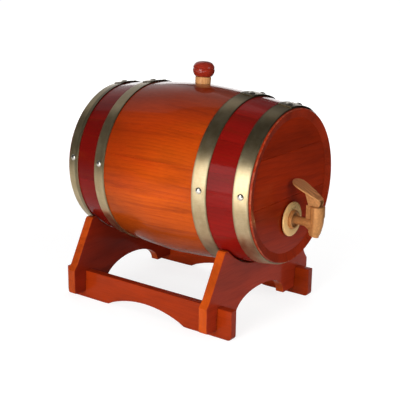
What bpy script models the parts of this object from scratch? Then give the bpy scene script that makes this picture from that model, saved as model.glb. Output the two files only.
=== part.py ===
"""Small varnished oak wine barrel with a bung and a cam-lever tap, lying on a cradle stand.

Metres, +Z up. The barrel's axis runs along X, with the tapped head towards +X.
The stand's feet rest on z = 0.
"""
import math
import bpy
import bmesh
from mathutils import Matrix, Vector

MM = 0.001
GAP = 0.30 * MM              # clearance between pieces that touch
JOINT_GAP = 0.10 * MM        # between glued or coopered faces

# ---------------------------------------------------------------- overall layout
STAND_X = -30.25 * MM        # middle of the stand
BARREL_X = STAND_X + 9.5 * MM
AXIS_Z = 164.2 * MM          # height of the barrel's axis

# ---------------------------------------------------------------- barrel
FRONT_END = 134.7 * MM       # chimes, from the barrel's middle
REAR_END = 127.6 * MM
BILGE_R = 103.0 * MM
BILGE_DROP = 14.7 * MM       # how much smaller the radius is at DROP_AT
DROP_AT = 138.0 * MM
BILGE_POWER = 1.5
STAVES = 16
FACETS = 4                   # outer facets on one stave
STAVE_T = 11.0 * MM
CHIME_LIP = 0.6 * MM
HEAD_FRONT = 131.4 * MM      # outer faces of the heads, from the barrel's middle
HEAD_REAR = 124.3 * MM
HEAD_T = 9.0 * MM
CROZE_DEPTH = 3.2 * MM
BARREL_TURN = 5.0            # degrees the bung leans over to the far side
BOARD_JOINTS = (-13.0 * MM, 41.0 * MM)

# ---------------------------------------------------------------- hoops, nails
HOOPS = (                    # edges from the barrel's middle, then how far the nails sit below level
    ("front_end", 113.8 * MM, 132.3 * MM, 2.1),
    ("front_quarter", 63.6 * MM, 82.0 * MM, 2.3),
    ("rear_quarter", -79.8 * MM, -63.4 * MM, -2.2),
    ("rear_end", -125.6 * MM, -109.8 * MM, -2.4))
HOOP_T = 1.0 * MM
HOOP_LIFT = 0.15 * MM
LAP_FROM, LAP_TO = 99.0, 73.0    # degrees: strap end on top, strap end below
NAIL_ANGLES = (179.4, 0.6)
RIVET_ANGLES = (92.8, 79.5)
NAIL_R = 3.7 * MM
NAIL_H = 1.5 * MM
SHANK_R = 0.80 * MM
HOLE_R = 1.00 * MM

# ---------------------------------------------------------------- bung
BUNG_X = 0.0
BUNG_R = 9.6 * MM            # at the top of the plug
BUNG_TAPER = 0.030           # radius lost per unit of depth
PLUG_TOP = 7.5 * MM          # above the bilge
PLUG_LENGTH = 22.0 * MM

# ---------------------------------------------------------------- tap
TAP_X = 166.8 * MM           # the valve's axis, from the barrel's middle
SHANK_Z = -38.5 * MM         # the shank's axis, from the barrel's axis
BONNET_R = 8.5 * MM
BONNET_TOP = -17.6 * MM
SEAT_Z = -45.0 * MM
CHAMBER_R = 4.3 * MM
THREAD_R = 8.0 * MM
PIN_H = 2.2 * MM             # lever pin above the bonnet
CAM_CLEAR = 0.2 * MM
LIFT_PER_RAD = 1.85 * MM
CAM_FRONT = 5.0 * MM

# ---------------------------------------------------------------- stand
CRADLE_FACE = 104.5 * MM     # outer face of a cradle, from the stand's middle
CRADLE_T = 11.0 * MM
CRADLE_BOTTOM = 9.0 * MM
FOOT_Y = 110.5 * MM
RAIL_Y = 90.5 * MM           # outer face of a rail
RAIL_T = 10.0 * MM
RAIL_H = 35.5 * MM
RAIL_X = 124.3 * MM
LAP_Z = 22.0 * MM            # where cradle and rail halve into each other

COLOURS = {
    "stave": ((0.46, 0.115, 0.030), 0.16, 0.0),
    "head": ((0.32, 0.060, 0.022), 0.18, 0.0),
    "stand": ((0.40, 0.095, 0.030), 0.18, 0.0),
    "hoop": ((0.42, 0.33, 0.20), 0.34, 1.0),
    "nail": ((0.60, 0.56, 0.47), 0.25, 1.0),
    "knob": ((0.34, 0.050, 0.020), 0.12, 0.0),
    "plug": ((0.62, 0.42, 0.22), 0.55, 0.0),
    "tap": ((0.58, 0.33, 0.13), 0.38, 0.35),
    "flange": ((0.66, 0.46, 0.22), 0.30, 0.75),
    "rubber": ((0.03, 0.03, 0.03), 0.60, 0.0),
    "steel": ((0.55, 0.55, 0.56), 0.28, 1.0),
}


def clear_scene():
    for obj in list(bpy.data.objects):
        bpy.data.objects.remove(obj, do_unlink=True)


def make_material(name, kind):
    colour, roughness, metallic = COLOURS[kind]
    mat = bpy.data.materials.new(name)
    mat.use_nodes = True
    bsdf = mat.node_tree.nodes["Principled BSDF"]
    bsdf.inputs["Base Color"].default_value = (*colour, 1.0)
    bsdf.inputs["Roughness"].default_value = roughness
    bsdf.inputs["Metallic"].default_value = metallic
    mat.diffuse_color = (*colour, 1.0)
    return mat


def add_empty(name, location, parent=None):
    obj = bpy.data.objects.new(name, None)
    obj.location = location
    obj.parent = parent
    bpy.context.scene.collection.objects.link(obj)
    return obj


def add_solid(name, verts, faces, kind=None, parent=None, location=(0, 0, 0), rotation=(0, 0, 0)):
    """A closed mesh object; without a kind it is a hidden helper for a boolean."""
    mesh = bpy.data.meshes.new(name)
    mesh.from_pydata([tuple(v) for v in verts], [], faces)
    bm = bmesh.new()
    bm.from_mesh(mesh)
    bmesh.ops.recalc_face_normals(bm, faces=bm.faces)
    if bm.calc_volume(signed=True) < 0:
        bmesh.ops.reverse_faces(bm, faces=bm.faces)
    bm.to_mesh(mesh)
    bm.free()
    obj = bpy.data.objects.new(name, mesh)
    obj.location = location
    obj.rotation_euler = rotation
    obj.parent = parent
    bpy.context.scene.collection.objects.link(obj)
    if kind is None:
        obj.hide_render = True
        obj.display_type = 'WIRE'
    else:
        mesh.materials.append(make_material("mat_" + name, kind))
    return obj


def combine(obj, other, operation):
    mod = obj.modifiers.new(operation.title(), 'BOOLEAN')
    mod.operation = operation
    mod.solver = 'EXACT'
    mod.object = other


def round_edges(obj, width, segments=1, angle=30.0):
    mod = obj.modifiers.new("Bevel", 'BEVEL')
    mod.width = width
    mod.segments = segments
    mod.limit_method = 'ANGLE'
    mod.angle_limit = math.radians(angle)


# ---------------------------------------------------------------- shapes
def ring_point(axis, along, radius, angle):
    c, s = radius * math.cos(angle), radius * math.sin(angle)
    return (along, c, s) if axis == 'X' else (c, s, along)


def lathe(profile, segments, axis='X'):
    """Turn (along, radius) points round an axis; poles have radius 0, else the profile is a loop."""
    open_ended = profile[0][1] == 0 and profile[-1][1] == 0
    verts, rings = [], []
    for along, radius in profile:
        if radius == 0:
            rings.append([len(verts)])
            verts.append(ring_point(axis, along, 0.0, 0.0))
        else:
            rings.append(list(range(len(verts), len(verts) + segments)))
            verts += [ring_point(axis, along, radius, 2 * math.pi * k / segments)
                      for k in range(segments)]
    faces = []
    pairs = list(zip(rings, rings[1:]))
    if not open_ended:
        pairs.append((rings[-1], rings[0]))
    for a, b in pairs:
        for k in range(segments):
            n = (k + 1) % segments
            if len(a) == 1:
                faces.append((a[0], b[k], b[n]))
            elif len(b) == 1:
                faces.append((a[k], a[n], b[0]))
            else:
                faces.append((a[k], a[n], b[n], b[k]))
    return verts, faces


def sector(profile, half_angle, steps, gap):
    """Turn a closed (along, radius) loop about X through a wedge centred on +Z."""
    verts, faces = [], []
    n = len(profile)
    for k in range(steps + 1):
        t = -1 + 2 * k / steps
        for along, radius in profile:
            a = half_angle * t - (0.5 * gap / radius) * t * (abs(t) == 1)
            verts.append((along, radius * math.sin(a), radius * math.cos(a)))
    for k in range(steps):
        for i in range(n):
            j = (i + 1) % n
            faces.append((k * n + i, k * n + j, (k + 1) * n + j, (k + 1) * n + i))
    faces.append(tuple(range(n)))
    faces.append(tuple(range(steps * n, steps * n + n)))
    return verts, faces


def prism(outline, low, high, axis):
    """Push a closed outline along an axis: (y, z) along X, or (x, z) along Y."""
    n = len(outline)
    if axis == 'X':
        verts = [(low, a, b) for a, b in outline] + [(high, a, b) for a, b in outline]
    else:
        verts = [(a, low, b) for a, b in outline] + [(a, high, b) for a, b in outline]
    faces = [tuple(range(n)), tuple(range(n, 2 * n))]
    faces += [(i, (i + 1) % n, n + (i + 1) % n, n + i) for i in range(n)]
    return verts, faces


def loft(rings):
    n = len(rings[0])
    verts = [p for ring in rings for p in ring]
    faces = [tuple(range(n)), tuple(range(len(verts) - n, len(verts)))]
    for k in range(len(rings) - 1):
        for i in range(n):
            j = (i + 1) % n
            faces.append((k * n + i, k * n + j, (k + 1) * n + j, (k + 1) * n + i))
    return verts, faces


def rod(radius, low, high, segments, axis='Z', centre=(0, 0, 0)):
    verts, faces = lathe([(low, 0), (low, radius), (high, radius), (high, 0)], segments,
                         'X' if axis == 'X' else 'Z')
    if axis == 'Y':
        verts = [(x, z, y) for x, y, z in verts]
    return [(x + centre[0], y + centre[1], z + centre[2]) for x, y, z in verts], faces


def block(low, high):
    (x0, y0, z0), (x1, y1, z1) = low, high
    return prism([(y0, z0), (y1, z0), (y1, z1), (y0, z1)], x0, x1, 'X')


def merge(parts):
    verts, faces = [], []
    for v, f in parts:
        base = len(verts)
        verts += v
        faces += [tuple(i + base for i in face) for face in f]
    return verts, faces


# ---------------------------------------------------------------- barrel
def barrel_radius(u):
    return BILGE_R - BILGE_DROP * (abs(u) / DROP_AT) ** BILGE_POWER


def chime_profile(end, head):
    """Wide bevel, head seat and groove at one end, from the outside in, as if at the front."""
    seat_front = head + 0.5 * GAP
    seat_back = head - HEAD_T - 0.5 * GAP
    seat_r = barrel_radius(head) - STAVE_T
    return [(end, barrel_radius(end) - 0.5 * MM), (end - 0.3 * MM, barrel_radius(end) - 0.5 * MM - CHIME_LIP),
            (seat_front, seat_r), (seat_front, seat_r + CROZE_DEPTH), (seat_back, seat_r + CROZE_DEPTH),
            (seat_back, barrel_radius(seat_back) - STAVE_T)]


def stave_profile():
    marks = [-46 * MM, -31 * MM, -17 * MM, -6 * MM, 0.0, 6 * MM, 17 * MM, 31 * MM, 46 * MM,
             97 * MM, -96 * MM, FRONT_END - 0.7 * MM, 0.7 * MM - REAR_END]
    for _, near, far, _ in HOOPS:
        marks += [near, far]
    outer = [(u, barrel_radius(u)) for u in sorted(marks)]
    front = chime_profile(FRONT_END, HEAD_FRONT)
    middle = [(u * MM, barrel_radius(u * MM) - STAVE_T) for u in (90, 45, 0, -45, -90)]
    rear = [(-u, r) for u, r in reversed(chime_profile(REAR_END, HEAD_REAR))]
    return outer + front + middle + rear


def build_staves(barrel):
    staves = {}
    half = math.pi / STAVES
    for k in range(STAVES):
        name = "stave_bung" if k == 0 else "stave_%02d" % k
        verts, faces = sector(stave_profile(), half, FACETS, JOINT_GAP)
        staves[k] = add_solid(name, verts, faces, "stave", barrel,
                              rotation=(2 * math.pi * k / STAVES, 0, 0))
    depth = PLUG_LENGTH - PLUG_TOP + 6 * MM
    hole = [(-depth, 0), (-depth, plug_radius(-depth) + 0.1 * MM),
            (10 * MM, plug_radius(10 * MM) + 0.1 * MM), (10 * MM, 0)]
    verts, faces = lathe(hole, 24, 'Z')
    combine(staves[0], add_solid("cut_bung_hole", verts, faces, None, barrel,
                                 (BUNG_X, 0, BILGE_R)), 'DIFFERENCE')
    for k, side in ((4, 0), (12, 1)):
        cut = add_solid("cut_nail_holes_%d" % k, *merge([
            nail_hole(0.5 * (near + far), nail_angles(below)[side], -7.5 * MM, 0.6 * MM)
            for _, near, far, below in HOOPS]), None, barrel)
        combine(staves[k], cut, 'DIFFERENCE')


def head_board(low, high, radius):
    """One board of a round head as a (y, z) outline between two heights."""
    points = []
    low = max(low, -radius)
    high = min(high, radius)
    a0 = math.asin(low / radius)
    a1 = math.asin(high / radius)
    steps = max(2, round((a1 - a0) / math.radians(8)))
    right = [a0 + (a1 - a0) * k / steps for k in range(steps + 1)]
    for a in right:
        points.append((radius * math.cos(a), radius * math.sin(a)))
    for a in reversed(right):
        y = -radius * math.cos(a)
        if abs(y) > 1e-6 or low > -radius and high < radius:
            points.append((y, radius * math.sin(a)))
    clean = []
    for p in points:
        if not clean or math.dist(p, clean[-1]) > 1e-6:
            clean.append(p)
    if math.dist(clean[0], clean[-1]) < 1e-6:
        clean.pop()
    return clean


def build_heads(barrel):
    cuts = [-1.0] + list(BOARD_JOINTS) + [1.0]
    for end, sign, face in (("front", 1, HEAD_FRONT), ("rear", -1, HEAD_REAR)):
        radius = barrel_radius(face) - STAVE_T + CROZE_DEPTH - GAP
        for k, word in enumerate(("lower", "middle", "upper")):
            low = cuts[k] + 0.5 * JOINT_GAP
            high = cuts[k + 1] - 0.5 * JOINT_GAP
            x = sorted((sign * (face - HEAD_T), sign * face))
            verts, faces = prism(head_board(low, high, radius), x[0], x[1], 'X')
            board = add_solid("head_%s_%s" % (end, word), verts, faces, "head", barrel)
            if end == "front" and word == "lower":
                hole = rod(THREAD_R + 0.2 * MM, 110 * MM, 140 * MM, 24, 'X', (0, 0, SHANK_Z))
                combine(board, add_solid("cut_tap_hole", *hole, None, barrel), 'DIFFERENCE')
            round_edges(board, 0.35 * MM)


# ---------------------------------------------------------------- hoops and nails
def nail_angles(below):
    """Angles of the near and far nail of a strap, a few degrees below level."""
    return NAIL_ANGLES[0] + below, NAIL_ANGLES[1] - below


def hoop_section(near, far, lift):
    r0 = barrel_radius(near) + lift
    r1 = barrel_radius(far) + lift
    e = 0.35 * MM
    slope = (r1 - r0) / (far - near)
    return [(near, r0), (far, r1), (far, r1 + HOOP_T - e), (far - e, r1 + HOOP_T - slope * e),
            (near + e, r0 + HOOP_T + slope * e), (near, r0 + HOOP_T - e)]


def hoop_band(near, far):
    """A strap wound once round the barrel, with its outer end lapped over its inner end."""
    step = 360.0 / (STAVES * FACETS)
    angles = [LAP_FROM]
    a = math.floor(LAP_FROM / step) * step
    while a > LAP_TO - 360.0 - 1e-6:
        angles.append(a)
        a -= step
    angles.append(LAP_TO - 360.0)
    high = HOOP_T + JOINT_GAP
    verts, faces = [], []
    n = 6
    for deg in angles:
        # full lift over the lap, then a short joggle down to the staves
        t = min(1.0, max(0.0, (LAP_TO - 1.0 - deg) / 6.0))
        lift = HOOP_LIFT + high * (1.0 - t)
        on_facet = (deg / step) % 1.0
        drop = math.cos(math.radians(0.5 * step))
        shrink = 1.0 if min(on_facet, 1 - on_facet) < 1e-6 else (
            drop / math.cos(math.radians((on_facet - 0.5) * step)))
        for u, r in hoop_section(near, far, lift):
            verts.append(ring_point('X', u, r * shrink, math.radians(deg)))
    for k in range(len(angles) - 1):
        for i in range(n):
            j = (i + 1) % n
            faces.append((k * n + i, k * n + j, (k + 1) * n + j, (k + 1) * n + i))
    last = (len(angles) - 1) * n
    faces += [tuple(range(n)), tuple(range(last, last + n))]
    return verts, faces


def nail_frame(u, angle, lift):
    """Matrix whose +Z points out of the hoop at (u, angle) and whose origin is on its surface."""
    a = math.radians(angle)
    slope = math.atan((barrel_radius(u + 1 * MM) - barrel_radius(u - 1 * MM)) / (2 * MM))
    step = math.radians(360.0 / (STAVES * FACETS))
    sag = math.cos(0.5 * step) / math.cos((a / step) % 1.0 * step - 0.5 * step)
    r = barrel_radius(u) * sag
    out = Vector((-math.sin(slope), math.cos(slope) * math.cos(a), math.cos(slope) * math.sin(a)))
    side = Vector((0, -math.sin(a), math.cos(a)))
    along = side.cross(out)
    mat = Matrix((along, side, out)).transposed().to_4x4()
    mat.translation = Vector((u, r * math.cos(a), r * math.sin(a))) + out * lift
    return mat


def nail_hole(u, angle, low, high):
    mat = nail_frame(u, angle, 0.0)
    verts, faces = rod(HOLE_R, low, high, 8)
    return [mat @ Vector(v) for v in verts], faces


def dome(radius, height, shank, length):
    points = [(-length, 0), (-length + 0.8 * MM, shank), (0, shank), (0, radius)]
    for k in (1, 2, 3):
        a = math.radians(25 * k)
        points.append((height * math.sin(a), radius * math.cos(a)))
    return lathe(points + [(height, 0)], 12, 'Z')


def build_hoops(barrel):
    for word, near, far, below in HOOPS:
        u = 0.5 * (near + far)
        level = nail_angles(below)
        hoop = add_solid("hoop_" + word, *hoop_band(near, far), "hoop", barrel)
        holes = [nail_hole(u, a, -0.6 * MM, 3.5 * MM) for a in level + RIVET_ANGLES]
        combine(hoop, add_solid("cut_holes_" + word, *merge(holes), None, barrel), 'DIFFERENCE')
        flush = HOOP_LIFT + HOOP_T + 0.20 * MM
        for side, angle in zip(("near", "far"), level):
            add_nail("nail_%s_%s" % (word, side), barrel, nail_frame(u, angle, flush), 7.0 * MM)
        raised = flush + HOOP_T + JOINT_GAP
        for side, angle in zip(("a", "b"), RIVET_ANGLES):
            add_nail("rivet_%s_%s" % (word, side), barrel, nail_frame(u, angle, raised), 2.1 * MM)


def add_nail(name, barrel, mat, length):
    nail = add_solid(name, *dome(NAIL_R, NAIL_H, SHANK_R, length), "nail", barrel)
    nail.location = mat.translation
    nail.rotation_euler = mat.to_euler()


# ---------------------------------------------------------------- bung
def plug_radius(z):
    return BUNG_R + BUNG_TAPER * (z - PLUG_TOP)


def build_bung(barrel):
    bung = add_empty("bung_axis", (BUNG_X, 0, BILGE_R), barrel)
    bottom = PLUG_TOP - PLUG_LENGTH
    bore_r, bore_z = 4.2 * MM, PLUG_TOP - 12 * MM
    plug = [(bottom, 0), (bottom, plug_radius(bottom) - 0.8 * MM),
            (bottom + 0.8 * MM, plug_radius(bottom + 0.8 * MM)),
            (PLUG_TOP - 0.4 * MM, plug_radius(PLUG_TOP - 0.4 * MM)),
            (PLUG_TOP, BUNG_R - 0.4 * MM), (PLUG_TOP, bore_r), (bore_z, bore_r), (bore_z, 0)]
    add_solid("bung_plug", *lathe(plug, 24, 'Z'), "plug", bung)
    neck_z = PLUG_TOP + 0.15 * MM
    spigot = [(bore_z + GAP, 0), (bore_z + GAP, 3.6 * MM), (bore_z + GAP + 0.6 * MM, 4.05 * MM),
              (neck_z, 4.05 * MM), (neck_z, 8.2 * MM)]
    # a round turned knob with a fine groove round it
    turned = [(8.0, 9.4), (8.8, 10.4), (10.0, 11.3), (11.8, 12.2), (13.8, 12.8), (15.6, 13.0),
              (16.9, 13.0), (17.25, 12.55), (17.6, 12.4), (17.95, 12.55), (18.3, 12.95), (20.0, 12.6),
              (21.6, 11.9), (23.0, 10.8), (24.2, 9.4), (25.1, 7.5), (25.7, 5.2), (26.0, 2.6)]
    turned = [(z * MM, r * MM) for z, r in turned]
    add_solid("bung_knob", *lathe(spigot + turned + [(26.1 * MM, 0)], 32, 'Z'), "knob", bung)


# ---------------------------------------------------------------- tap
def oval(z, left, right, depth, tilt=0.0, segments=28):
    """Closed section at height z: reaches left and right along X and +-depth along Y."""
    points = []
    cx, rx = 0.5 * (right - left), 0.5 * (right + left)
    for k in range(segments):
        a = 2 * math.pi * k / segments
        points.append((cx + rx * math.cos(a), depth * math.sin(a), z - tilt * rx * math.cos(a)))
    return points


def build_tap(barrel):
    tap = add_empty("tap_axis", (TAP_X, 0, 0), barrel)
    face = HEAD_FRONT - TAP_X
    gasket_x = face + 0.15 * MM
    flange_x = gasket_x + 1.2 * MM + 0.1 * MM
    flange_t = 3.0 * MM
    collar_x = flange_x + flange_t + 0.1 * MM
    ring = THREAD_R + 0.12 * MM

    def washer(low, high, inner, outer, edge):
        return [(x, r) for x, r in ((low, inner), (low, outer - edge), (low + edge, outer),
                                    (high - edge, outer), (high, outer - edge), (high, inner))]

    def on_shank(verts):
        return [(x, y, z + SHANK_Z) for x, y, z in verts]

    verts, faces = lathe(washer(gasket_x, gasket_x + 1.2 * MM, ring, 14.5 * MM, 0.2 * MM), 32)
    add_solid("tap_gasket_outer", on_shank(verts), faces, "rubber", tap)
    dish = [(flange_x, ring), (flange_x, 19.3 * MM), (flange_x + 0.5 * MM, 20.0 * MM),
            (flange_x + 1.4 * MM, 20.2 * MM), (flange_x + 2.4 * MM, 19.8 * MM),
            (flange_x + flange_t, 18.7 * MM), (flange_x + flange_t, 12.2 * MM),
            (flange_x + flange_t - 0.7 * MM, 11.4 * MM), (flange_x + flange_t - 0.7 * MM, ring)]
    verts, faces = lathe(dish, 48)
    add_solid("tap_flange", on_shank(verts), faces, "flange", tap)

    # body: threaded shank with its collar, a boss, the valve housing and the spout
    tail = face - HEAD_T - 15.5 * MM
    c = collar_x
    shank = [(tail, 0), (tail, THREAD_R - 0.8 * MM), (tail + 0.8 * MM, THREAD_R),
             (c - 0.8 * MM, THREAD_R), (c - 0.8 * MM, 10.9 * MM), (c + 0.2 * MM, 10.9 * MM),
             (c + 2.6 * MM, 10.6 * MM), (c + 3.2 * MM, 10.0 * MM), (c + 3.2 * MM, 8.8 * MM),
             (c + 1.6 * MM, 8.0 * MM), (c + 1.6 * MM, 6.0 * MM), (c + 2.6 * MM, 4.9 * MM),
             (-3.2 * MM, 4.8 * MM), (-3.2 * MM, 0)]
    verts, faces = lathe(shank, 28)
    shank_obj = add_solid("add_shank", on_shank(verts), faces, None, tap)
    rings = []
    for x, down, up, side in ((-17.0, 4.3, 4.3, 4.3), (-13.0, 6.0, 5.3, 5.5), (-9.5, 8.6, 5.4, 5.9),
                              (-4.0, 11.0, 5.6, 6.2)):
        mid, rz = 0.5 * (up - down), 0.5 * (up + down)
        rings.append([(x * MM, side * MM * math.cos(a), SHANK_Z + (mid + rz * math.sin(a)) * MM)
                      for a in [2 * math.pi * (k + 0.5) / 26 for k in range(26)]])
    boss = add_solid("add_boss", *loft(rings), None, tap)
    rib = add_solid("add_rib", *block((-13.8 * MM, -1.8 * MM, -34.5 * MM),
                                      (-6.0 * MM, 1.8 * MM, BONNET_TOP - 0.6 * MM)), None, tap)
    sections = [oval(BONNET_TOP, 7.9 * MM, 7.9 * MM, 7.9 * MM),
                oval(BONNET_TOP - 0.6 * MM, BONNET_R, BONNET_R, BONNET_R),
                oval(-29.4 * MM, BONNET_R, BONNET_R, BONNET_R),
                oval(-30.2 * MM, 7.9 * MM, 7.9 * MM, 7.9 * MM),
                oval(-38.0 * MM, 7.8 * MM, 7.4 * MM, 7.2 * MM),
                oval(-45.5 * MM, 9.4 * MM, 5.6 * MM, 6.8 * MM),
                oval(-49.3 * MM, 10.0 * MM, 4.2 * MM, 6.4 * MM, 0.12),
                oval(-50.1 * MM, 9.3 * MM, 3.4 * MM, 5.7 * MM, 0.14),
                oval(-52.9 * MM, 8.9 * MM, 2.4 * MM, 5.1 * MM, 0.24)]
    body = add_solid("tap_body", *loft(sections), "tap", tap)
    for extra in (boss, rib, shank_obj):
        combine(body, extra, 'UNION')
    chamber = [(SEAT_Z, 0), (SEAT_Z, CHAMBER_R), (BONNET_TOP - 5.0 * MM, CHAMBER_R),
               (BONNET_TOP - 5.0 * MM, 6.2 * MM), (BONNET_TOP + 2 * MM, 6.2 * MM),
               (BONNET_TOP + 2 * MM, 0)]
    combine(body, add_solid("cut_chamber", *lathe(chamber, 24, 'Z'), None, tap), 'DIFFERENCE')
    verts, faces = rod(3.0 * MM, tail - 2 * MM, -1.0 * MM, 16, 'X', (0, 0, SHANK_Z))
    combine(body, add_solid("cut_waterway", verts, faces, None, tap), 'DIFFERENCE')
    outlet = add_solid("cut_outlet", *rod(2.6 * MM, -20 * MM, 0.8 * MM, 16), None, tap,
                       (0, 0, SEAT_Z), (0, math.radians(16.0), 0))
    combine(body, outlet, 'DIFFERENCE')

    # behind the head: washer and nut on the threaded shank
    back = face - HEAD_T - 0.15 * MM
    verts, faces = lathe(washer(back - 1.5 * MM, back, ring, 13.0 * MM, 0.2 * MM), 32)
    add_solid("tap_gasket_inner", on_shank(verts), faces, "rubber", tap)
    nut_x = (back - 1.6 * MM - 7.0 * MM, back - 1.6 * MM)
    hexagon = [(13.5 * MM * math.cos(math.pi / 3 * k), SHANK_Z + 13.5 * MM * math.sin(math.pi / 3 * k))
               for k in range(6)]
    nut = add_solid("tap_nut_inner", *prism(hexagon, nut_x[0], nut_x[1], 'X'), "tap", tap)
    hole = rod(ring, nut_x[0] - 2 * MM, nut_x[1] + 2 * MM, 28, 'X', (0, 0, SHANK_Z))
    combine(nut, add_solid("cut_nut", *hole, None, tap), 'DIFFERENCE')

    # bonnet bush that closes the valve chamber and guides the stem
    bush = [(BONNET_TOP - 4.85 * MM, 2.15 * MM), (BONNET_TOP - 4.85 * MM, 6.05 * MM),
            (BONNET_TOP - 0.3 * MM, 6.05 * MM), (BONNET_TOP, 5.8 * MM), (BONNET_TOP, 2.15 * MM)]
    add_solid("tap_bonnet_bush", *lathe(bush, 24, 'Z'), "tap", tap)
    build_valve(tap)


def build_valve(tap):
    pin_z = BONNET_TOP + PIN_H
    valve = add_empty("valve_axis", (0, 0, pin_z), tap)
    seat = SEAT_Z - pin_z
    # rubber plug on the seat, with a socket for the stem
    seal = [(seat + 0.1 * MM, 0), (seat + 0.1 * MM, 3.4 * MM), (seat + 0.6 * MM, 3.95 * MM),
            (seat + 5.4 * MM, 3.95 * MM), (seat + 6.0 * MM, 3.6 * MM), (seat + 6.0 * MM, 1.55 * MM),
            (seat + 2.0 * MM, 1.55 * MM), (seat + 2.0 * MM, 0)]
    add_solid("tap_seal", *lathe(seal, 24, 'Z'), "rubber", valve)
    stem_lathe = [(seat + 2.2 * MM, 0), (seat + 2.2 * MM, 1.4 * MM), (seat + 6.1 * MM, 1.4 * MM),
                  (seat + 6.1 * MM, 2.05 * MM), (1.2 * MM, 2.05 * MM), (2.1 * MM, 1.2 * MM),
                  (2.1 * MM, 0)]
    stem = add_solid("tap_stem", *lathe(stem_lathe, 24, 'Z'), "steel", valve)
    cheek_block = add_solid("add_stem_head", *block((-1.7 * MM, -2.75 * MM, -1.6 * MM),
                                                   (1.7 * MM, 2.75 * MM, 1.6 * MM)), None, valve)
    trunnion = add_solid("add_trunnion", *rod(0.95 * MM, -3.75 * MM, 3.75 * MM, 16, 'Y'), None, valve)
    combine(stem, cheek_block, 'UNION')
    combine(stem, trunnion, 'UNION')

    low, high = seat + 6.25 * MM, -PIN_H - 5.0 * MM
    add_solid("tap_spring", *coil(3.1 * MM, 0.38 * MM, low, high, 6), "steel", valve)
    build_lever(valve)


def coil(radius, wire, low, high, turns):
    """A wound spring from low to high, one closed tube."""
    per_turn, sides = 12, 6
    rings = []
    low, high = low + wire, high - wire
    total = turns * per_turn
    pitch = (high - low) / turns
    for k in range(total + 1):
        a = 2 * math.pi * k / per_turn
        z = low + pitch * k / per_turn
        tilt = math.atan(pitch / (2 * math.pi * radius))
        out = Vector((math.cos(a), math.sin(a), 0))
        run = Vector((-math.sin(a) * math.cos(tilt), math.cos(a) * math.cos(tilt), math.sin(tilt)))
        up = run.cross(out) * -1
        centre = out * radius + Vector((0, 0, z))
        rings.append([tuple(centre + wire * (out * math.cos(b) + up * math.sin(b)))
                      for b in [2 * math.pi * i / sides for i in range(sides)]])
    return loft(rings)


def cam_outline(rear_top):
    """Side view of a cheek about the pin: flat sole, cam corner, upright toe."""
    points = [(-9.5 * MM, -PIN_H + CAM_CLEAR)]
    steps = 8
    for k in range(steps + 1):
        a = 0.5 * math.pi * k / steps
        h = PIN_H - CAM_CLEAR + LIFT_PER_RAD * a
        x = h * math.sin(a) + LIFT_PER_RAD * math.cos(a)
        z = -h * math.cos(a) + LIFT_PER_RAD * math.sin(a)
        points.append((min(x, CAM_FRONT), z))
    points += [(CAM_FRONT, 3.0 * MM), (CAM_FRONT, 4.4 * MM), (3.9 * MM, 5.5 * MM), rear_top]
    return points


def build_lever(valve):
    root = Vector((4.75 * MM, 0, 6.5 * MM))
    slope = math.radians(27.3)
    along = Vector((-math.cos(slope), 0, math.sin(slope)))
    up = Vector((math.sin(slope), 0, math.cos(slope)))
    thick = 2.2 * MM
    ridges = 5
    rings = []
    for s, half, edge, rib in ((0.0, 4.2, 0.5, 0.0), (0.8, 4.9, 0.2, 0.25), (8.0, 7.1, 0.0, 0.5),
                               (16.0, 9.1, 0.0, 0.55), (24.0, 10.6, 0.0, 0.55), (30.0, 11.1, 0.0, 0.55),
                               (33.5, 10.7, 0.0, 0.5), (36.0, 9.3, 0.0, 0.4), (38.1, 7.1, 0.1, 0.2),
                               (39.5, 4.6, 0.3, 0.05), (40.3, 1.9, 0.6, 0.0)):
        half, edge, rib = half * MM, edge * MM, rib * MM
        base = root + along * (s * MM)
        section = [(-half + 0.4 * MM, -thick + edge), (half - 0.4 * MM, -thick + edge),
                   (half, -thick + edge + 0.4 * MM), (half, -0.4 * MM - edge),
                   (half - 0.4 * MM, -edge)]
        inner = min(0.80 * half, half - 0.8 * MM)
        for k in range(2 * ridges + 1):
            y = inner - 2 * inner * k / (2 * ridges)
            section.append((y, -edge - rib * (k % 2 == 0)))
        section += [(-half + 0.4 * MM, -edge), (-half, -0.4 * MM - edge),
                    (-half, -thick + edge + 0.4 * MM)]
        rings.append([tuple(base + Vector((0, y, 0)) + up * h) for y, h in section])
    lever = add_solid("tap_lever", *loft(rings), "tap", valve)
    under = root - up * (thick - 1.05 * MM)
    rear = under + along * (23.0 * MM)
    outline = cam_outline((rear.x, rear.z))
    for side, y0, y1 in (("near", -4.4, -3.0), ("far", 3.0, 4.4)):
        cheek = add_solid("add_cheek_" + side, *prism(outline, y0 * MM, y1 * MM, 'Y'), None, valve)
        combine(lever, cheek, 'UNION')
    socket = rod(1.03 * MM, -3.9 * MM, 3.9 * MM, 16, 'Y')
    combine(lever, add_solid("cut_sockets", *socket, None, valve), 'DIFFERENCE')


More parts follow.
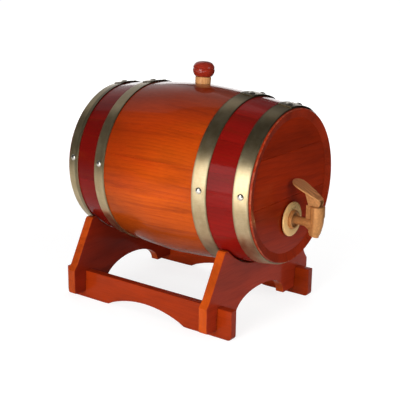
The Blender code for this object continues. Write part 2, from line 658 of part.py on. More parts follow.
# ---------------------------------------------------------------- stand
def cradle_outline(saddle_r, horn_top, arch_w, arch_h, square):
    half = [(0.0, AXIS_Z - saddle_r)]
    limit = math.acos((AXIS_Z - (horn_top - 1.2 * MM)) / saddle_r)
    steps = 10
    for k in range(1, steps + 1):
        a = limit * k / steps
        half.append((saddle_r * math.sin(a), AXIS_Z - saddle_r * math.cos(a)))
    inner = half[-1][0]
    half += [(inner + 1.4 * MM, horn_top - 0.2 * MM), (inner + 3.4 * MM, horn_top),
             (75.0 * MM, horn_top - 0.2 * MM), (76.9 * MM, horn_top - 1.8 * MM),
             (104.4 * MM, 47.4 * MM), (107.6 * MM, 43.6 * MM), (FOOT_Y, 40.0 * MM),
             (FOOT_Y, CRADLE_BOTTOM + 4.0 * MM), (FOOT_Y - 1.2 * MM, CRADLE_BOTTOM + 1.2 * MM),
             (FOOT_Y - 4.0 * MM, CRADLE_BOTTOM), (RAIL_Y + 0.15 * MM, CRADLE_BOTTOM),
             (RAIL_Y + 0.15 * MM, LAP_Z + 0.1 * MM), (RAIL_Y - RAIL_T - 0.15 * MM, LAP_Z + 0.1 * MM),
             (RAIL_Y - RAIL_T - 0.15 * MM, CRADLE_BOTTOM)]
    for k in range(0, 12):
        a = 0.5 * math.pi * k / 11
        half.append((arch_w * math.cos(a) ** (2 / square) if k < 11 else 0.0,
                     CRADLE_BOTTOM + arch_h * math.sin(a) ** (2 / square)))
    return half + [(-y, z) for y, z in reversed(half[1:-1])]


def rail_outline():
    half = [(0.0, RAIL_H)]
    inner, outer = CRADLE_FACE - CRADLE_T - 0.15 * MM, CRADLE_FACE + 0.15 * MM
    half += [(inner, RAIL_H), (inner, LAP_Z - 0.1 * MM), (outer, LAP_Z - 0.1 * MM), (outer, RAIL_H),
             (RAIL_X, RAIL_H)]
    corner = 5.0 * MM
    for k in range(5):
        a = 0.5 * math.pi * k / 4
        half.append((RAIL_X - corner + corner * math.cos(a), corner - corner * math.sin(a)))
    chord, rise = 59.5 * MM, 13.8 * MM
    radius = (chord * chord + rise * rise) / (2 * rise)
    half.append((chord + 3.0 * MM, 0.0))
    half.append((chord - 2.0 * MM, 0.35 * MM))
    for k in range(1, 9):
        x = (chord - 2.0 * MM) * (1 - k / 8)
        half.append((x, rise - radius + math.sqrt(radius * radius - x * x)))
    return half + [(-x, z) for x, z in reversed(half[1:-1])]


def build_stand():
    stand = add_empty("stand_frame", (STAND_X, 0, 0))
    inner = CRADLE_FACE - CRADLE_T
    for name, low, high, shape in (
            ("cradle_front", inner, CRADLE_FACE, (96.3 * MM, 97.6 * MM, 53.5 * MM, 27.2 * MM, 2.25)),
            ("cradle_rear", -CRADLE_FACE, -inner, (93.9 * MM, 100.0 * MM, 52.5 * MM, 26.0 * MM, 2.0))):
        verts, faces = prism(cradle_outline(*shape), low, high, 'X')
        round_edges(add_solid(name, verts, faces, "stand", stand), 0.8 * MM, 2, 50.0)
    for name, low, high in (("rail_near", -RAIL_Y, -RAIL_Y + RAIL_T), ("rail_far", RAIL_Y - RAIL_T, RAIL_Y)):
        verts, faces = prism(rail_outline(), low, high, 'Y')
        round_edges(add_solid(name, verts, faces, "stand", stand), 0.8 * MM, 2, 50.0)


def main():
    clear_scene()
    build_stand()
    barrel = add_empty("barrel_axis", (BARREL_X, 0, AXIS_Z))
    turned = add_empty("barrel_turned", (0, 0, 0), barrel)
    turned.rotation_euler = (math.radians(-BARREL_TURN), 0, 0)
    build_staves(turned)
    build_hoops(turned)
    build_bung(turned)
    build_heads(barrel)
    build_tap(barrel)


main()
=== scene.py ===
"""Looks of the small oak wine barrel on its cradle stand.

The barrel's axis runs along X with the tapped head towards +X, +Z is up, and the camera is on
the -Y side. Lengths are in metres and colours are linear RGB.
"""
import math
import bpy
from mathutils import Matrix, Vector


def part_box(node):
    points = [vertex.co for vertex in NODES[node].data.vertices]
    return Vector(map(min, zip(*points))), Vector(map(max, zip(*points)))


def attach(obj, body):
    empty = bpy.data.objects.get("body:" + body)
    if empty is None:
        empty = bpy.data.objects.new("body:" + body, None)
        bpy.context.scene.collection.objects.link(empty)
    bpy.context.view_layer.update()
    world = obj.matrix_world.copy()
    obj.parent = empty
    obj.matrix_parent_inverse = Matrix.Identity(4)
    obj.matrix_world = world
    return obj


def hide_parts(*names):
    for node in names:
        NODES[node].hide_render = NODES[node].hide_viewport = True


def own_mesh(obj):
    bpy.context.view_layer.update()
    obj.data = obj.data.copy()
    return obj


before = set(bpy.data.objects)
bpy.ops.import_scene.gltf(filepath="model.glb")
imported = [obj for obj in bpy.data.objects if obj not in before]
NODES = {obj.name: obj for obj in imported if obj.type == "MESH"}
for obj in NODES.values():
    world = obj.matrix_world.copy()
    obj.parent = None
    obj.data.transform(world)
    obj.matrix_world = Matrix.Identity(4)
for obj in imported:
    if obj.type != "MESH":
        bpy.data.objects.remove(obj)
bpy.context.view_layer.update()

MM = 0.001


# ---------------------------------------------------------------- places, from the CAD nodes' boxes
AXIS_Z = 0.5 * (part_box("head_rear_lower")[0].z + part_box("head_rear_upper")[1].z)
stave_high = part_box("stave_bung")[1]
bung_low, bung_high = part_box("bung_knob")
rail_low, rail_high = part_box("rail_near")
BARREL_X = 0.5 * (bung_low.x + bung_high.x)
STAND_X = 0.5 * (rail_low.x + rail_high.x)
FRONT_END = stave_high.x - BARREL_X
BILGE_R = stave_high.z - AXIS_Z
LEAN = math.atan2(0.5 * (bung_low.y + bung_high.y), 0.5 * (bung_low.z + bung_high.z) - AXIS_Z)
STRAP_BANDS = [sorted(abs(corner.x - BARREL_X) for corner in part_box("hoop_" + n))
               for n in ("front_quarter", "front_end")]

# ---------------------------------------------------------------- sizes that no box gives
STAVES = 16
BILGE_DROP, DROP_AT, DROP_POWER = 14.7 * MM, 138.0 * MM, 1.5     # how the outside falls from the bilge
FRONT_R = BILGE_R - 14.1 * MM                                    # outside radius at the front chime
HEAD_JOINTS = (AXIS_Z - 13 * MM, AXIS_Z + 41 * MM)               # heights where a head's boards meet
# where the staves' stain changes, from the barrel's middle: out of sight under the hoops
CRIMSON_FROM, CRIMSON_FULL = 70.0 * MM, 73.0 * MM
CHIME_FROM, CHIME_FULL = 119.0 * MM, 121.0 * MM
BARE_UP_TO = 122.0 * MM                                          # bare wood inside, up to the front head
SPRING_WIRE, SPRING_TURNS = 0.38 * MM, 6.5
RIDGE_PITCH = 1.9 * MM                                           # of the tap lever's thumb plate
STRAP_EDGE = 2.6 * MM                                            # width of a strap's dark edge
BOARD_ANGLE, ROUND_ANGLE = 25.0, 38.0                            # degrees, that still shade as smooth

# ---------------------------------------------------------------- clear gloss varnish
COAT, COAT_SHALLOW, COAT_IOR = 0.24, 0.9, 1.45


# ---------------------------------------------------------------- node helpers
class Graph:
    """A material's node tree, with short calls for the nodes used here."""

    def __init__(self, name):
        self.mat = bpy.data.materials.new(name)
        self.mat.use_nodes = True
        self.tree = self.mat.node_tree
        self.bsdf = self.tree.nodes["Principled BSDF"]

    def node(self, kind, inputs=None, **props):
        n = self.tree.nodes.new(kind)
        for key, value in props.items():
            setattr(n, key, value)
        for key, value in (inputs or {}).items():
            self.put(n.inputs[key], value)
        return n

    def put(self, socket, value):
        """Link a socket into another, or set its value."""
        if isinstance(value, bpy.types.NodeSocket):
            self.tree.links.new(value, socket)
        elif isinstance(value, (tuple, list)) and len(value) == 3 and socket.type == 'RGBA':
            socket.default_value = (*value, 1.0)
        else:
            socket.default_value = value

    def math(self, op, a, b=0.0, c=0.0):
        return self.node("ShaderNodeMath", {0: a, 1: b, 2: c}, operation=op).outputs[0]

    def plus(self, a, b):
        return self.math('ADD', a, b)

    def minus(self, a, b):
        return self.math('SUBTRACT', a, b)

    def times(self, a, b):
        return self.math('MULTIPLY', a, b)

    def length(self, a, b):
        """Length of a flat vector (a, b)."""
        return self.math('SQRT', self.plus(self.times(a, a), self.times(b, b)))

    def xyz(self, vector):
        n = self.node("ShaderNodeSeparateXYZ", {0: vector})
        return n.outputs[0], n.outputs[1], n.outputs[2]

    def vec(self, x, y, z):
        return self.node("ShaderNodeCombineXYZ", {0: x, 1: y, 2: z}).outputs[0]

    def noise(self, vector, scale, detail=3.0, rough=0.55, distortion=0.0):
        n = self.node("ShaderNodeTexNoise", {"Vector": vector, "Scale": scale, "Detail": detail,
                                             "Roughness": rough, "Distortion": distortion})
        return n.outputs["Fac"]

    def ramp(self, value, stops, mode='LINEAR'):
        """Grey ramp through (position, value) stops."""
        n = self.node("ShaderNodeValToRGB", {0: value})
        n.color_ramp.interpolation = mode
        elements = n.color_ramp.elements
        while len(elements) < len(stops):
            elements.new(0.5)
        for element, (position, grey) in zip(elements, stops):
            element.position = position
            element.color = (grey, grey, grey, 1)
        return n.outputs[0]

    def mix(self, factor, a, b, blend='MIX'):
        n = self.node("ShaderNodeMix", data_type='RGBA', blend_type=blend)
        for index, value in ((0, factor), (6, a), (7, b)):
            self.put(n.inputs[index], value)
        return n.outputs[2]

    def span(self, value, low, high, to_low=0.0, to_high=1.0):
        """Smooth step from to_low at low to to_high at high."""
        n = self.node("ShaderNodeMapRange", {0: value, 1: low, 2: high, 3: to_low, 4: to_high},
                      interpolation_type='SMOOTHSTEP')
        return n.outputs[0]

    def bump(self, height, strength, distance):
        n = self.node("ShaderNodeBump", {"Height": height, "Strength": strength, "Distance": distance})
        return n.outputs[0]

    def coord(self, output):
        return self.node("ShaderNodeTexCoord").outputs[output]

    def out(self, **sockets):
        names = {"color": "Base Color", "rough": "Roughness", "metal": "Metallic", "normal": "Normal",
                 "coat": "Coat Weight", "coat_rough": "Coat Roughness", "coat_ior": "Coat IOR",
                 "specular": "Specular IOR Level", "coat_normal": "Coat Normal"}
        for key, value in sockets.items():
            self.put(self.bsdf.inputs[names[key]], value)
        return self.mat


# ---------------------------------------------------------------- wood
def stretched(g, board, seed, along_scale, across_scale, deep_scale):
    """A noise vector on a board (along, across, deep), moved along by seed."""
    along, across, deep = board
    return g.vec(g.plus(g.times(along, along_scale), seed),
                 g.times(across, across_scale), g.times(deep, deep_scale))


def grain(g, board, seed, spacing, tilt=0.06, wobble=5.0 * MM, aside=0.0):
    """Growth rings, fibres and figure of a board (along, across, deep), each 0..1."""
    along, across, deep = board
    slow = g.noise(stretched(g, board, seed, 7.0, 22.0, 22.0), 1.0, 3.0, 0.5)
    fast = g.noise(stretched(g, board, seed, 30.0, 160.0, 160.0), 1.0, 2.0, 0.5)
    drift = g.times(g.minus(slow, 0.5), wobble * 2.6)
    quiver = g.times(g.minus(fast, 0.5), wobble * 0.35)
    # rings round a pith that lies some way under the board, and aside of it, and leans a little
    lean = g.times(along, tilt)
    to_side = g.plus(g.plus(across, g.math('MULTIPLY_ADD', g.math('SINE', seed), 18 * MM, aside)), lean)
    to_pith = g.plus(g.minus(deep, 34 * MM), g.times(lean, 1.6))
    radius = g.plus(g.plus(g.length(to_side, to_pith), drift), quiver)
    turn = g.math('FRACT', g.math('DIVIDE', radius, spacing))
    ring = g.ramp(turn, [(0.0, 0.10), (0.45, 0.28), (0.80, 0.78), (0.92, 1.0), (1.0, 0.10)], 'EASE')
    fibre = g.noise(stretched(g, board, seed, 45.0, 1500.0, 1500.0), 1.0, 3.0, 0.6)
    figure = g.noise(stretched(g, board, seed, 9.0, 26.0, 26.0), 1.0, 2.0, 0.5, 0.4)
    return ring, fibre, figure


def streaks(g, board, seed):
    """Thin dark lines that run with the grain: 0 between them, 1 in them."""
    return g.span(g.noise(stretched(g, board, seed, 5.0, 120.0, 50.0), 1.0, 4.0, 0.62, 0.5), 0.50, 0.70)


def varnished(g, here, wood, stain, dark, ring_strength, coat_rough, coat=COAT, coat_ior=COAT_IOR):
    """Wood (ring, fibre, figure) under clear gloss varnish: stain is its colour, dark its late wood's."""
    ring, fibre, figure = wood
    tone = g.mix(g.times(ring, ring_strength), stain, dark)
    fine = g.ramp(fibre, [(0.25, 0.72), (0.50, 1.0), (0.75, 1.12)])
    tone = g.mix(0.75, tone, fine, 'MULTIPLY')
    cloud = g.ramp(figure, [(0.25, 0.70), (0.50, 1.0), (0.75, 1.22)])
    tone = g.mix(0.85, tone, cloud, 'MULTIPLY')
    pores = g.plus(g.times(fibre, 0.6), g.times(ring, 0.4))
    ripple = g.plus(g.noise(here, 55.0, 2.0, 0.5), g.times(g.noise(here, 420.0, 1.0), 0.06))
    # the varnish mirrors more where it is seen at a shallow angle
    shallow = g.node("ShaderNodeLayerWeight", {"Blend": 0.5}).outputs["Facing"]
    return g.out(color=tone, rough=g.span(fibre, 0.2, 0.8, 0.50, 0.34), specular=0.05,
                 coat=g.span(shallow, 0.50, 0.86, coat, COAT_SHALLOW), coat_rough=coat_rough,
                 coat_ior=coat_ior, normal=g.bump(pores, 0.25, 0.12 * MM),
                 coat_normal=g.bump(ripple, 0.10, 1.2 * MM))


def stave_wood():
    """Golden belly, crimson between the hoops, red-brown chimes, and bare wood inside the barrel."""
    g = Graph("varnished_stave")
    here = g.coord("Object")
    x, y, z = g.xyz(here)
    u = g.minus(x, BARREL_X)
    up = g.minus(z, AXIS_Z)
    radius = g.length(y, up)
    from_middle = g.math('ABSOLUTE', u)

    # which stave, and the place on it
    angle = g.minus(g.math('ARCTAN2', y, up), LEAN)     # 0 at the bung
    turns = g.plus(g.times(angle, STAVES / (2 * math.pi)), STAVES + 0.5)
    index = g.math('FLOOR', turns)
    number = g.math('MODULO', index, STAVES)
    within = g.times(g.minus(g.minus(turns, index), 0.5), 2 * math.pi / STAVES * BILGE_R)
    deep = g.minus(radius, BILGE_R)
    seed = g.times(number, 7.31)
    board = (u, within, deep)
    wood = grain(g, board, seed, 3.6 * MM, 0.04, 3.2 * MM, aside=46 * MM)
    figure = wood[2]

    # each stave takes the stain a little differently
    per = g.node("ShaderNodeTexWhiteNoise", {"W": g.plus(number, 0.5)},
                 noise_dimensions='1D').outputs["Value"]
    red = g.mix(per, (0.285, 0.025, 0.0010), (0.340, 0.034, 0.0014))
    golden = g.mix(per, (0.360, 0.047, 0.0014), (0.420, 0.062, 0.0020))
    wander = g.times(g.minus(figure, 0.5), 130 * MM)
    height = g.minus(g.plus(up, wander), g.times(u, 0.45))
    belly = g.mix(g.span(height, -10 * MM, 70 * MM), golden, red)
    # painted shade: darker on the crown, underneath and towards the rear
    shade = g.times(g.span(up, 64 * MM, 96 * MM, 1.0, 0.60), g.span(up, -78 * MM, -5 * MM, 0.62, 1.0))
    painted_rear_shade = g.span(u, -80 * MM, 25 * MM, 0.76, 1.04)
    belly = g.mix(1.0, belly, g.times(shade, painted_rear_shade), 'MULTIPLY')
    crimson = g.mix(per, (0.135, 0.0026, 0.0014), (0.180, 0.0042, 0.0022))
    # the crimson takes the same painted shade towards the rear
    crimson = g.mix(1.0, crimson, painted_rear_shade, 'MULTIPLY')
    chime = (0.230, 0.018, 0.003)
    painted = g.span(from_middle, CRIMSON_FROM, CRIMSON_FULL)
    stain = g.mix(painted, belly, crimson)
    stain = g.mix(g.span(from_middle, CHIME_FROM, CHIME_FULL), stain, chime)

    # the front chime's outer edge is paler in places: partly wear through the varnish, partly a painted
    # highlight where the edge catches the light
    edge = g.times(g.span(u, FRONT_END - 1.6 * MM, FRONT_END - 0.9 * MM),
                   g.span(g.minus(radius, FRONT_R), -1.6 * MM, -0.6 * MM))
    wear_and_painted_highlight = g.span(g.noise(here, 260.0, 3.0, 0.6), 0.40, 0.62, 0.0, 0.70)
    stain = g.mix(g.times(edge, wear_and_painted_highlight), stain, (0.34, 0.095, 0.045))

    inside = g.span(deep, -16 * MM, -11 * MM, 1.0, 0.0)
    bare = g.times(inside, g.math('LESS_THAN', from_middle, BARE_UP_TO))
    stain = g.mix(bare, stain, (0.42, 0.25, 0.12))
    stain = g.mix(g.times(streaks(g, board, seed), 0.42), stain, (0.120, 0.010, 0.0008))
    dark = g.mix(painted, (0.170, 0.013, 0.0012), (0.080, 0.0014, 0.0010))
    return varnished(g, here, wood, stain, dark, 0.27, 0.08)


def board_wood(name, grain_axis, depth_axis, light, dark, spacing, seed, strength, edge=None,
               coat_rough=0.05, joints=()):
    """Varnished board whose grain runs along one axis. Edge is the stain on its narrow faces,
    and joints are the heights at which one board ends and the next begins."""
    g = Graph(name)
    here = g.coord("Object")
    axes = dict(zip("XYZ", g.xyz(here)))
    across_axis = (set("XYZ") - {grain_axis, depth_axis}).pop()
    board = (axes[grain_axis], axes[across_axis], axes[depth_axis])
    number = seed
    for height in joints:
        above = g.math('GREATER_THAN', axes[across_axis], height)
        number = g.plus(number, g.times(above, 11.7))
    wood = grain(g, board, number, spacing)
    stain = light
    if edge is not None:
        normal = dict(zip("XYZ", g.xyz(g.node("ShaderNodeNewGeometry").outputs["True Normal"])))
        facing = g.math('ABSOLUTE', normal[depth_axis])
        stain = g.mix(g.span(facing, 0.35, 0.75, 1.0, 0.0), light, edge)
    stain = g.mix(g.times(streaks(g, board, number), 0.30), stain, dark)
    return varnished(g, here, wood, stain, dark, strength, coat_rough)


def knob_wood():
    """Dark red turned wood under a full coat of varnish."""
    g = Graph("varnished_knob")
    here = g.coord("Object")
    wood = grain(g, g.xyz(here), 2.2, 2.6 * MM, 0.1, 1.5 * MM)
    return varnished(g, here, wood, (0.270, 0.020, 0.008), (0.10, 0.006, 0.004), 0.30, 0.05,
                     coat=1.0, coat_ior=1.5)


def bare_wood():
    """Unvarnished turned wood, with its grain upright and faint turning rings."""
    g = Graph("bare_turned_wood")
    x, y, z = g.xyz(g.coord("Object"))
    ring, fibre, _ = grain(g, (z, y, x), 4.2, 1.6 * MM, 0.1, 0.8 * MM)
    stain = g.mix(g.times(ring, 0.5), (0.56, 0.27, 0.10), (0.34, 0.12, 0.04))
    stain = g.mix(0.7, stain, g.ramp(fibre, [(0.25, 0.7), (0.75, 1.15)]), 'MULTIPLY')
    turning = g.math('SINE', g.times(z, 5200.0))
    return g.out(color=stain, rough=0.42, specular=0.4,
                 normal=g.bump(g.plus(g.times(turning, 0.15), fibre), 0.3, 0.1 * MM))


# ---------------------------------------------------------------- metal and rubber
def strap_metal():
    """Antique brass, brushed round the barrel, darker along its edges, with painted shade on its crown.
    """
    g = Graph("antique_brass_strap")
    x, y, z = g.xyz(g.coord("Object"))
    u = g.minus(x, BARREL_X)
    up = g.minus(z, AXIS_Z)
    angle = g.math('ARCTAN2', y, up)                    # 0 on the crown
    from_middle = g.math('ABSOLUTE', u)
    brush = g.noise(g.vec(g.times(u, 2600.0), g.times(angle, 5.0), 0.0), 1.0, 3.0, 0.7)
    cross = g.noise(g.vec(g.times(u, 60.0), g.times(angle, 190.0), 3.0), 1.0, 3.0, 0.7)
    patina = g.noise(g.vec(g.times(u, 90.0), g.times(y, 60.0), g.times(up, 60.0)), 1.0, 4.0, 0.6)
    edge = 1.0
    for low, high in STRAP_BANDS:
        inside = g.times(g.span(from_middle, low, low + STRAP_EDGE),
                         g.span(from_middle, high - STRAP_EDGE, high, 1.0, 0.0))
        edge = g.times(edge, g.minus(1.0, inside))
    base = g.mix(g.span(patina, 0.30, 0.72), (0.60, 0.455, 0.25), (0.74, 0.60, 0.36))
    base = g.mix(g.times(edge, 0.55), base, (0.10, 0.080, 0.045))
    base = g.mix(0.5, base, g.ramp(cross, [(0.3, 0.80), (0.7, 1.15)]), 'MULTIPLY')
    # painted shade: the strap is darker towards its crown
    crown = g.span(g.math('ABSOLUTE', angle), 0.50, 1.15, 0.42, 1.0)
    base = g.mix(1.0, base, crown, 'MULTIPLY')
    rough = g.plus(g.span(patina, 0.3, 0.7, 0.29, 0.36), g.times(edge, 0.10))
    fine = g.plus(g.times(brush, 0.5), g.times(cross, 0.5))
    return g.out(color=base, metal=1.0, rough=rough, normal=g.bump(fine, 0.22, 0.05 * MM))


def plain_metal(name, colour, dark, rough, scale, bump, metal=1.0, grime=0.35):
    """Metal with dark specks, and with painted shade darkening its hollows."""
    g = Graph(name)
    here = g.coord("Object")
    spots = g.noise(here, scale, 4.0, 0.6)
    broad = g.noise(here, scale * 0.22, 3.0, 0.5)
    fine = g.noise(here, scale * 6.0, 2.0, 0.6)
    hollow = g.node("ShaderNodeNewGeometry").outputs["Pointiness"]
    base = g.mix(g.times(g.span(spots, 0.30, 0.70, 1.0, 0.0), grime), colour, dark)
    # painted shade in the hollows
    base = g.mix(g.times(g.span(hollow, 0.40, 0.50, 1.0, 0.0), 0.6), base, dark)
    height = g.plus(g.times(spots, 0.6), g.times(fine, 0.3))
    return g.out(color=base, metal=metal, rough=g.span(broad, 0.3, 0.7, rough - 0.05, rough + 0.07),
                 normal=g.bump(height, bump, 0.10 * MM))


def lever_metal():
    """The tap's cast metal, with fine lengthwise ridges on the top of the thumb plate, bumped, with a
    painted highlight on their crests and painted shade between them.
    """
    g = Graph("ridged_lever")
    here = g.coord("Object")
    _, y, _ = g.xyz(here)
    top = g.span(g.xyz(g.coord("Normal"))[2], 0.60, 0.80)
    wave = g.math('SINE', g.times(y, 2 * math.pi / RIDGE_PITCH))
    ridge_bump_and_painted_light = g.math('MULTIPLY_ADD', wave, 0.5, 0.5)
    spots = g.noise(here, 420.0, 4.0, 0.6)
    base = g.mix(g.span(spots, 0.30, 0.70, 0.45, 0.0), (0.62, 0.29, 0.10), (0.24, 0.085, 0.022))
    # painted highlight on the ridges' crests and painted shade between them, on the plate's top
    base = g.mix(top, base, g.mix(ridge_bump_and_painted_light, (0.46, 0.165, 0.055), (0.98, 0.43, 0.17)))
    height = g.math('MULTIPLY_ADD', g.times(ridge_bump_and_painted_light, top), 0.8, g.times(spots, 0.3))
    return g.out(color=base, metal=0.60, rough=g.span(spots, 0.3, 0.7, 0.34, 0.42),
                 normal=g.bump(height, 0.35, 0.25 * MM))


def nail_metal():
    """Bright domed head, with painted shade that darkens it towards its rim."""
    g = Graph("polished_nail")
    here = g.coord("Object")
    _, y, z = g.xyz(here)
    outward = g.node("ShaderNodeVectorMath", {0: g.vec(0.0, y, g.minus(z, AXIS_Z))},
                     operation='NORMALIZE').outputs[0]
    facing = g.node("ShaderNodeVectorMath", {0: g.coord("Normal"), 1: outward},
                    operation='DOT_PRODUCT').outputs["Value"]
    spots = g.noise(here, 500.0, 4.0, 0.6)
    base = g.mix(g.span(spots, 0.30, 0.70, 0.30, 0.0), (0.93, 0.89, 0.80), (0.42, 0.34, 0.22))
    # painted shade round the dome's rim, where it turns down to the strap
    base = g.mix(g.span(facing, 0.40, 0.72, 0.75, 0.0), base, (0.06, 0.04, 0.02))
    return g.out(color=base, metal=1.0, rough=g.span(spots, 0.3, 0.7, 0.24, 0.16),
                 normal=g.bump(spots, 0.10, 0.10 * MM))


def rubber():
    """Dull black rubber."""
    g = Graph("black_rubber")
    spots = g.noise(g.coord("Object"), 900.0, 3.0, 0.6)
    return g.out(color=g.mix(spots, (0.018, 0.018, 0.018), (0.035, 0.034, 0.033)),
                 rough=g.span(spots, 0.2, 0.8, 0.55, 0.70), normal=g.bump(spots, 0.2, 0.05 * MM))


# ---------------------------------------------------------------- shading of the CAD nodes
def barrel_slope(u):
    """Slope of the staves' outside, u from the barrel's middle."""
    slope = DROP_POWER * BILGE_DROP / DROP_AT * (abs(u) / DROP_AT) ** (DROP_POWER - 1)
    return -math.copysign(slope, u)


def turned_normals(obj):
    """Set normals so that facets turned round the barrel's axis shade as one round surface."""
    mesh = obj.data
    mesh.polygons.foreach_set("use_smooth", [True] * len(mesh.polygons))
    normals = [None] * len(mesh.loops)
    for poly in mesh.polygons:
        n = poly.normal
        out = Vector((0, poly.center.y, poly.center.z - AXIS_Z)).normalized()
        outwards = n.dot(out)
        sideways = abs(n.dot(out.cross(Vector((1, 0, 0)))))
        for loop in poly.loop_indices:
            if sideways > 0.35:                         # a stave's side, left flat
                normals[loop] = n
                continue
            v = mesh.vertices[mesh.loops[loop].vertex_index].co
            r = Vector((0, v.y, v.z - AXIS_Z)).normalized()
            if outwards > 0.93:                         # the outside, which also curves lengthwise
                k = Vector((-barrel_slope(v.x - BARREL_X), 0, 0)) + r
            else:
                k = Vector((n.x, 0, 0)) + r * outwards
            normals[loop] = k.normalized()
    mesh.normals_split_custom_set(normals)


def smooth_by_angle(obj, degrees):
    """Smooth across the facets that meet within an angle, found by place as the mesh may be split."""
    mesh = obj.data
    mesh.polygons.foreach_set("use_smooth", [True] * len(mesh.polygons))
    for modifier in [m for m in obj.modifiers if m.type == 'NODES']:
        obj.modifiers.remove(modifier)
    limit = math.cos(math.radians(degrees))
    place = [tuple(round(c * 2e5) for c in v.co) for v in mesh.vertices]
    meeting = {}
    for poly in mesh.polygons:
        for vertex in poly.vertices:
            meeting.setdefault(place[vertex], []).append((poly.normal.copy(), poly.area))
    normals = [None] * len(mesh.loops)
    for poly in mesh.polygons:
        for loop, vertex in zip(poly.loop_indices, poly.vertices):
            total = Vector((0, 0, 0))
            for n, area in meeting[place[vertex]]:
                if n.dot(poly.normal) >= limit:
                    total += n * area
            normals[loop] = total.normalized()
    mesh.normals_split_custom_set(normals)


def paint(obj, mat):
    obj.data.materials.clear()
    obj.data.materials.append(mat)
    for poly in obj.data.polygons:
        poly.material_index = 0


MATS = {
    "stave": stave_wood(),
    "head": board_wood("varnished_head", 'Y', 'X', (0.245, 0.0155, 0.0008), (0.085, 0.004, 0.0006),
                       7.0 * MM, 1.3, 0.22, coat_rough=0.06, joints=HEAD_JOINTS),
    "cradle": board_wood("varnished_cradle", 'Y', 'X', (0.290, 0.024, 0.007), (0.150, 0.010, 0.0025),
                         7.5 * MM, 5.1, 0.15, edge=(0.390, 0.054, 0.004)),
    # painted shade: the rear cradle has the cradle's wood, stained darker throughout to stand for the
    # shade it stands in
    "cradle_rear": board_wood("varnished_rear_cradle_painted_shade", 'Y', 'X', (0.185, 0.013, 0.004),
                              (0.095, 0.006, 0.0018), 7.5 * MM, 9.7, 0.15, edge=(0.330, 0.042, 0.004)),
    "rail": board_wood("varnished_rail", 'X', 'Y', (0.245, 0.022, 0.0020), (0.130, 0.009, 0.0010),
                       7.0 * MM, 8.4, 0.18, edge=(0.260, 0.022, 0.005)),
    "strap": strap_metal(),
    "nail": nail_metal(),
    "plug": bare_wood(),
    "knob": knob_wood(),
    "tap": plain_metal("cast_tap", (0.58, 0.262, 0.085), (0.24, 0.085, 0.022),
                       0.33, 420.0, 0.30, metal=0.55, grime=0.45),
    "lever": lever_metal(),
    "flange": plain_metal("tap_flange", (1.00, 0.64, 0.26), (0.62, 0.34, 0.12),
                          0.30, 380.0, 0.10, metal=0.50, grime=0.20),
    "steel": plain_metal("turned_steel", (0.60, 0.60, 0.61), (0.25, 0.25, 0.26), 0.28, 500.0, 0.08),
    "rubber": rubber(),
}

# how a node's name starts, and its material; the first that fits is used
KINDS = (("stave", "stave"), ("hoop", "strap"), ("nail", "nail"), ("rivet", "nail"), ("head", "head"),
         ("cradle_rear", "cradle_rear"), ("cradle", "cradle"), ("rail", "rail"),
         ("bung_plug", "plug"), ("bung_knob", "knob"),
         ("tap_gasket", "rubber"), ("tap_seal", "rubber"), ("tap_spring", "steel"), ("tap_stem", "steel"),
         ("tap_flange", "flange"), ("tap_lever", "lever"), ("tap", "tap"))
TURNED = ("stave", "strap")
FLAT_BOARDS = ("cradle", "cradle_rear", "rail", "head")

for name, obj in sorted(NODES.items()):
    kind = next(value for start, value in KINDS if name.startswith(start))
    paint(obj, MATS[kind])
    if kind in TURNED:
        turned_normals(obj)
    else:
        smooth_by_angle(obj, BOARD_ANGLE if kind in FLAT_BOARDS else ROUND_ANGLE)


# ---------------------------------------------------------------- the tap's spring
def coil_spring(name, low, high, wire, turns):
    """Closed coil of round wire (wire is its radius) that fills a box, with its axis along Z."""
    centre = 0.5 * (low + high)
    coil_r = 0.5 * (high.x - low.x) - wire
    bottom, rise = low.z + wire, high.z - low.z - 2 * wire
    steps, sides = int(turns * 24), 10
    verts, faces = [], []
    for i in range(steps + 1):
        t = i / steps
        # half a turn at each end lies flat on its seat
        climb = min(1.0, max(0.0, (t - 0.5 / turns) / (1.0 - 1.0 / turns)))
        a = 2 * math.pi * turns * t
        out = Vector((math.cos(a), math.sin(a), 0.0))
        hub = Vector((centre.x, centre.y, bottom + rise * climb)) + out * coil_r
        for k in range(sides):
            b = 2 * math.pi * k / sides
            verts.append(hub + out * (wire * math.cos(b)) + Vector((0, 0, wire * math.sin(b))))
    for i in range(steps):
        for k in range(sides):
            j = (k + 1) % sides
            faces.append((i * sides + k, i * sides + j, (i + 1) * sides + j, (i + 1) * sides + k))
    faces.append(tuple(reversed(range(sides))))
    faces.append(tuple(steps * sides + k for k in range(sides)))
    mesh = bpy.data.meshes.new(name)
    mesh.from_pydata(verts, [], faces)
    mesh.polygons.foreach_set("use_smooth", [True] * len(mesh.polygons))
    mesh.materials.append(MATS["steel"])
    obj = bpy.data.objects.new(name, mesh)
    bpy.context.scene.collection.objects.link(obj)
    return obj


# the coil hangs from the bonnet and moves with the barrel
spring_low, spring_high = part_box("tap_spring")
spring = coil_spring("tap_spring_coil", spring_low, spring_high, SPRING_WIRE, SPRING_TURNS)
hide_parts("tap_spring")
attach(spring, "barrel")
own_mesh(spring)


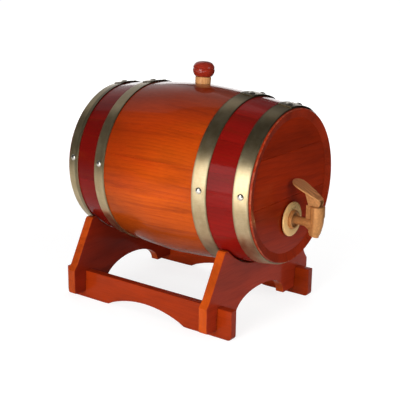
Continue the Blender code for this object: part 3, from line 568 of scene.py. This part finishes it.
# ---------------------------------------------------------------- floor, light and camera
def pale_floor():
    """White floor: plain white to the camera, and darker in reflections beyond the far corner."""
    half = 14.0
    mesh = bpy.data.meshes.new("floor")
    mesh.from_pydata([(-half, -half, 0), (half, -half, 0), (half, half, 0), (-half, half, 0)],
                     [], [(0, 1, 2, 3)])
    g = Graph("pale_floor")
    path = g.node("ShaderNodeLightPath").outputs
    x, y, _ = g.xyz(g.coord("Object"))
    beyond = g.plus(g.times(x, 0.58), g.times(y, 0.81))
    mirrored = g.span(beyond, 0.28, 0.50, 0.75, 0.05)
    albedo = g.mix(path["Is Glossy Ray"], (0.80, 0.80, 0.80), mirrored)
    albedo = g.mix(path["Is Camera Ray"], albedo, (0.30, 0.30, 0.30))
    glow = g.span(g.length(x, y), 0.30, 0.90, 0.80, 1.0)
    g.out(color=albedo, rough=0.8, specular=0.0)
    g.put(g.bsdf.inputs["Emission Color"], (1.0, 1.0, 1.0))
    g.put(g.bsdf.inputs["Emission Strength"], g.times(path["Is Camera Ray"], glow))
    mesh.materials.append(g.mat)
    obj = bpy.data.objects.new("floor", mesh)
    bpy.context.scene.collection.objects.link(obj)
    obj.location.z = -0.2 * MM


def area_light(name, azimuth, height, distance, size, radiance, glossy=True, aim=(0, 0, 0.15)):
    """A softbox at an azimuth in degrees, counted from the near side towards +X, of a given radiance."""
    light = bpy.data.lights.new(name, 'AREA')
    light.shape = 'RECTANGLE'
    light.size, light.size_y = size
    light.energy = radiance * math.pi * size[0] * size[1]
    obj = bpy.data.objects.new(name, light)
    a = math.radians(azimuth)
    obj.location = (distance * math.sin(a), -distance * math.cos(a), height)
    obj.rotation_euler = (Vector(aim) - obj.location).to_track_quat('-Z', 'Y').to_euler()
    obj.visible_camera = False
    obj.visible_glossy = glossy
    bpy.context.scene.collection.objects.link(obj)


def white_world(dim):
    """White to the camera, and dim to every other ray."""
    world = bpy.data.worlds.new("studio")
    world.use_nodes = True
    tree = world.node_tree
    background = tree.nodes["Background"]
    background.inputs[0].default_value = (1.0, 1.0, 1.0, 1.0)
    path = tree.nodes.new("ShaderNodeLightPath")
    strength = tree.nodes.new("ShaderNodeMapRange")
    strength.inputs[3].default_value = dim
    strength.inputs[4].default_value = 1.0
    tree.links.new(path.outputs["Is Camera Ray"], strength.inputs[0])
    tree.links.new(strength.outputs[0], background.inputs[1])
    bpy.context.scene.world = world


def studio():
    white_world(0.075)
    # these light the object
    area_light("key", 10, 0.26, 0.95, (0.40, 0.26), 24.8, glossy=False, aim=(0.06, 0, 0.10))
    area_light("top", 10, 1.6, 0.4, (1.2, 1.2), 0.8, glossy=False)
    area_light("side", 75, 0.7, 1.5, (0.9, 0.9), 3.6, glossy=False)
    area_light("rear", 190, 1.1, 1.6, (1.2, 0.9), 3.0, glossy=False)
    # and these also show in the varnish and metal
    area_light("softbox_left", -5, 0.34, 1.35, (0.70, 0.90), 3.0)
    area_light("softbox_right", 97, 0.60, 1.4, (0.5, 0.7), 1.6)
    area_light("haze", 205, 1.4, 1.0, (1.2, 1.0), 0.13, aim=(0, 0, 0.25))
    area_light("haze_left", 245, 1.1, 1.3, (1.3, 1.6), 0.55, aim=(0, 0, 0.25))
    area_light("backdrop", 218, 0.34, 1.8, (1.9, 0.65), 1.5)


def camera():
    yaw, pitch, roll = math.radians(35.807), math.radians(16.101), math.radians(0.73)
    distance = 1.1532
    target = Vector((STAND_X + 13.89 * MM, 0.0, 124.87 * MM))
    back = Vector((math.sin(yaw) * math.cos(pitch), -math.cos(yaw) * math.cos(pitch), math.sin(pitch)))
    level = Vector((math.cos(yaw), math.sin(yaw), 0))
    upright = back.cross(level)
    right = level * math.cos(roll) + upright * math.sin(roll)
    up = upright * math.cos(roll) - level * math.sin(roll)
    data = bpy.data.cameras.new("camera")
    data.sensor_width = 36.0
    data.lens = 85.0545
    obj = bpy.data.objects.new("camera", data)
    turn = Matrix((right, up, back)).transposed().to_4x4()
    obj.matrix_world = Matrix.Translation(target + back * distance) @ turn
    bpy.context.scene.collection.objects.link(obj)
    bpy.context.scene.camera = obj


bpy.context.scene.view_settings.view_transform = 'Standard'
pale_floor()
studio()
camera()
